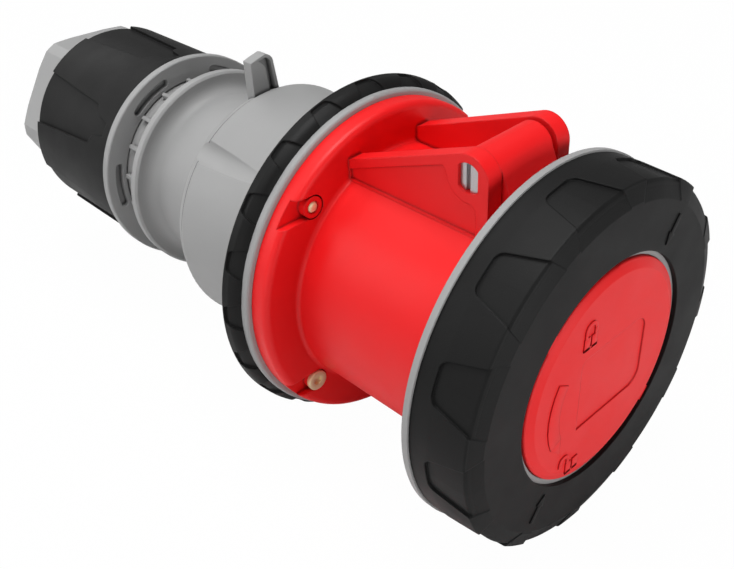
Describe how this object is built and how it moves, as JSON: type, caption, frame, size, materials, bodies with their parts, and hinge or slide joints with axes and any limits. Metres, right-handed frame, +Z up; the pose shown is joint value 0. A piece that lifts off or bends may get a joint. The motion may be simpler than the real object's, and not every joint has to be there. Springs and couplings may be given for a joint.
{
  "type": "pin and sleeve connector",
  "caption": "Round splash-proof cable connector: a red socket with a hinged lid and a bayonet ring, a grey housing, and a cable gland with a hexagon end.",
  "frame": {"origin": "on the main axis, in the plane of the bayonet ring's rear rim", "axes": "+Y from the lid towards the cable, +Z up through the lid's hinge, +X to the right when the lid is looked at from the front"},
  "size_m": [0.1256, 0.2883, 0.129],
  "materials": {
    "red_plastic": "satin moulded",
    "grey_plastic": "satin moulded",
    "dark_plastic": "fine matt moulded",
    "black_soft": "soft touch, matt",
    "seal_rubber": "matt",
    "brass": "turned",
    "steel": "drawn"
  },
  "bodies": {
    "housing": {"socket_housing": "red_plastic", "hinge_pin": "steel", "lid_spring": "steel", "contact_carrier": "dark_plastic", "contact_earth": "brass", "contact_l1": "brass", "contact_l2": "brass", "contact_l3": "brass", "contact_neutral": "brass", "contact_pilot": "brass", "terminal_screws": "steel", "rear_housing": "grey_plastic", "flange_seal": "seal_rubber", "soft_band": "black_soft", "front_screws": "brass", "rear_screws": "brass", "gland_seal": "seal_rubber", "claw_ring": "dark_plastic"},
    "lid": {"lid": "red_plastic", "lid_gasket": "seal_rubber"},
    "ring": {"bayonet_ring": "grey_plastic", "ring_grip": "black_soft"},
    "washer": {"slip_washer": "dark_plastic"},
    "nut": {"gland_nut": "grey_plastic", "nut_grip": "black_soft"}
  },
  "joints": [
    {"name": "lid_hinge", "type": "hinge", "parent": "housing", "child": "lid", "pos_m": [0, 0.015, 0.0588], "axis": [-1, 0, 0], "range_deg": [0, 150], "stiffness_Nm_per_rad": 0.06, "springref_deg": -30},
    {"name": "ring_turn", "type": "hinge", "parent": "lid", "child": "ring", "pos_m": [0, -0.012, 0], "axis": [0, -1, 0], "range_deg": [0, 32]},
    {"name": "gland_slide", "type": "slide", "parent": "housing", "child": "washer", "axis": [0, 1, 0], "range_m": [0, 0.006]},
    {"name": "nut_turn", "type": "hinge", "parent": "washer", "child": "nut", "pos_m": [0, 0.2, 0], "axis": [0, 1, 0], "range_deg": [0, 720]}
  ],
  "couplings": [
    {"joint": "gland_slide", "follows": "nut_turn", "m_per_rad": 0.000477}
  ]
}
